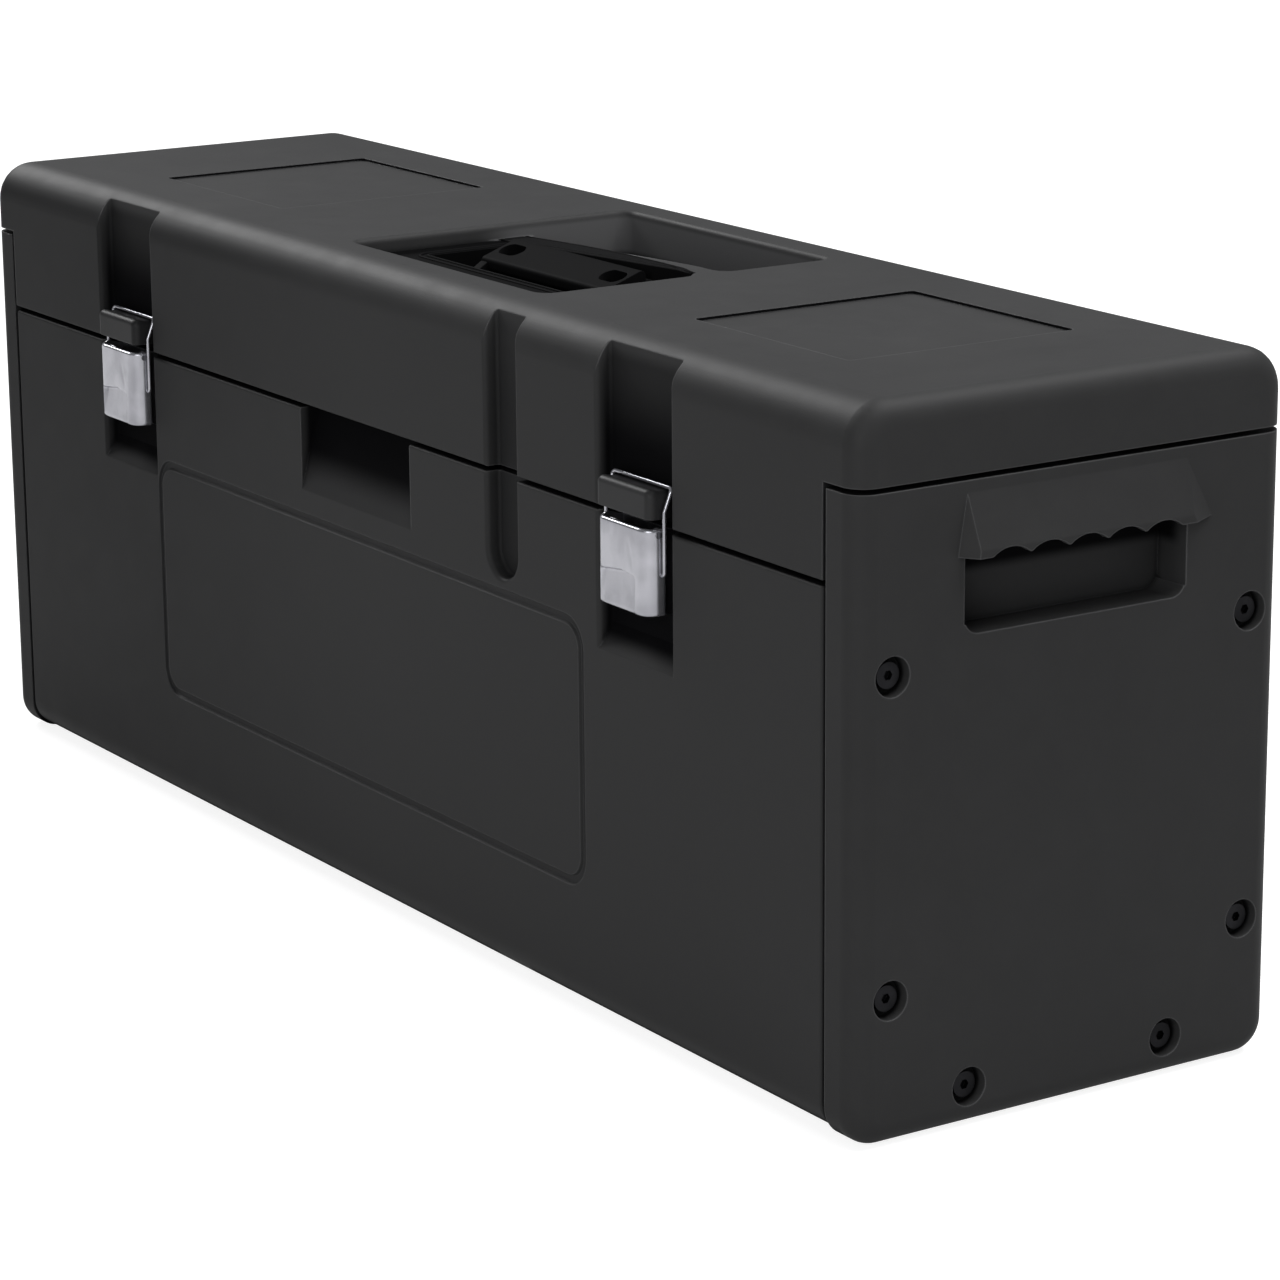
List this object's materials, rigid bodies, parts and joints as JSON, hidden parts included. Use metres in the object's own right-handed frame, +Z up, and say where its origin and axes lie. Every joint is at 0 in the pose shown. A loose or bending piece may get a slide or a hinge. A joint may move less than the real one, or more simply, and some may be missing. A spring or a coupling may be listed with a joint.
{
  "type": "carrying case",
  "caption": "Long moulded equipment case with a hinged lid, draw latches at the front, a fold-down carry handle in the lid and hooded hand grips in its end caps.",
  "frame": {"origin": "on the floor, under the middle of the case", "axes": "+X along the case to its right end, front with the latches faces -Y, +Z up"},
  "size_m": [0.856, 0.25, 0.33],
  "materials": {
    "case_plastic": "fine moulded texture",
    "black_plastic": "fine moulded texture",
    "seal_rubber": "matte",
    "plated_steel": "bright plated",
    "zinc_steel": "zinc plated",
    "black_steel": "black oxide"
  },
  "bodies": {
    "case_body": {"body_shell": "case_plastic", "end_cap_left": "case_plastic", "end_cap_right": "case_plastic", "end_cap_screws_left": "black_steel", "end_cap_screws_right": "black_steel", "lid_seal": "seal_rubber", "latch_base_left": "zinc_steel", "latch_base_right": "zinc_steel", "latch_pin_left": "zinc_steel", "latch_pin_right": "zinc_steel", "latch_rivets": "zinc_steel", "hinge_leaf_lower_left": "zinc_steel", "hinge_leaf_lower_middle": "zinc_steel", "hinge_leaf_lower_right": "zinc_steel", "hinge_rivets_lower": "zinc_steel", "hinge_pins": "zinc_steel"},
    "lid": {"lid_shell": "case_plastic", "keeper_left": "black_plastic", "keeper_right": "black_plastic", "keeper_screws": "black_steel", "hinge_leaf_upper_left": "zinc_steel", "hinge_leaf_upper_middle": "zinc_steel", "hinge_leaf_upper_right": "zinc_steel", "hinge_rivets_upper": "zinc_steel", "handle_tray": "black_plastic", "tray_screws": "black_steel", "handle_pins": "zinc_steel"},
    "handle": {"carry_handle": "black_plastic"},
    "lever_left": {"latch_lever_left": "plated_steel"},
    "lever_right": {"latch_lever_right": "plated_steel"},
    "wire_left": {"latch_wire_left": "plated_steel"},
    "wire_right": {"latch_wire_right": "plated_steel"}
  },
  "joints": [
    {"name": "lid_hinge", "type": "hinge", "parent": "case_body", "child": "lid", "pos_m": [0, 0.1215, 0.2496], "axis": [-1, 0, 0], "range_deg": [0, 100]},
    {"name": "handle_fold", "type": "hinge", "parent": "lid", "child": "handle", "pos_m": [0.028, -0.041, 0.304], "axis": [1, 0, 0], "range_deg": [0, 62]},
    {"name": "latch_lever_left", "type": "hinge", "parent": "case_body", "child": "lever_left", "pos_m": [-0.2555, -0.1185, 0.2465], "axis": [-1, 0, 0], "range_deg": [0, 90]},
    {"name": "latch_wire_left", "type": "hinge", "parent": "lever_left", "child": "wire_left", "pos_m": [-0.2555, -0.1168, 0.228], "axis": [-1, 0, 0], "range_deg": [-90, 0]},
    {"name": "latch_lever_right", "type": "hinge", "parent": "case_body", "child": "lever_right", "pos_m": [0.2495, -0.1185, 0.2465], "axis": [-1, 0, 0], "range_deg": [0, 90]},
    {"name": "latch_wire_right", "type": "hinge", "parent": "lever_right", "child": "wire_right", "pos_m": [0.2495, -0.1168, 0.228], "axis": [-1, 0, 0], "range_deg": [-90, 0]}
  ],
  "couplings": [
    {"joint": "latch_wire_left", "follows": "latch_lever_left", "ratio": -1},
    {"joint": "latch_wire_right", "follows": "latch_lever_right", "ratio": -1}
  ]
}
